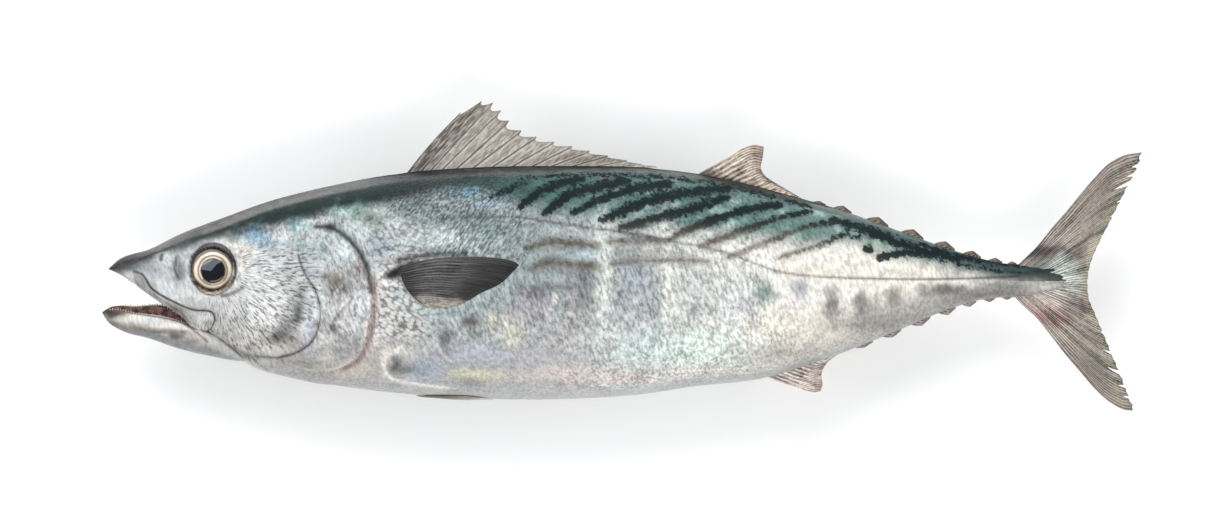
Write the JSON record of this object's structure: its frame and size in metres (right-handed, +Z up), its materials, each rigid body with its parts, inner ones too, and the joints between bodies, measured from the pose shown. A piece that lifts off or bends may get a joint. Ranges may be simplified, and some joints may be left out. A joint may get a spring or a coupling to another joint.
{
  "type": "whole raw fish",
  "caption": "Whole raw little tuna lying on its flank: spindle body with dark back stripes, open mouth, spiny and soft fins, finlets and a forked tail.",
  "frame": {"origin": "middle of the flattened patch of the right flank, which the fish rests on, 43 percent of the way from jaw tip to tail tips", "axes": "+X from head to tail, +Y from belly to back, +Z up through the fish from its right flank to its left flank"},
  "size_m": [0.5991, 0.1788, 0.0942],
  "materials": {
    "skin": "wet silver scaleless skin, blue-green back",
    "eye": "clear glossy eye over a pale gold iris",
    "fin": "damp fin skin over fine rays"
  },
  "bodies": {
    "root": {"body": "skin", "lower_jaw": "skin", "left_maxilla": "skin", "right_maxilla": "skin", "left_gill_cover": "skin", "right_gill_cover": "skin", "left_eye": "eye", "right_eye": "eye", "left_pectoral_fin": "fin", "right_pectoral_fin": "fin", "left_pelvic_fin": "fin", "right_pelvic_fin": "fin", "first_dorsal_fin": "fin", "second_dorsal_fin": "fin", "anal_fin": "fin", "caudal_fin": "fin", "dorsal_finlet_1": "fin", "dorsal_finlet_2": "fin", "dorsal_finlet_3": "fin", "dorsal_finlet_4": "fin", "dorsal_finlet_5": "fin", "dorsal_finlet_6": "fin", "dorsal_finlet_7": "fin", "dorsal_finlet_8": "fin", "anal_finlet_1": "fin", "anal_finlet_2": "fin", "anal_finlet_3": "fin", "anal_finlet_4": "fin", "anal_finlet_5": "fin", "anal_finlet_6": "fin", "anal_finlet_7": "fin"}
  },
  "joints": []
}
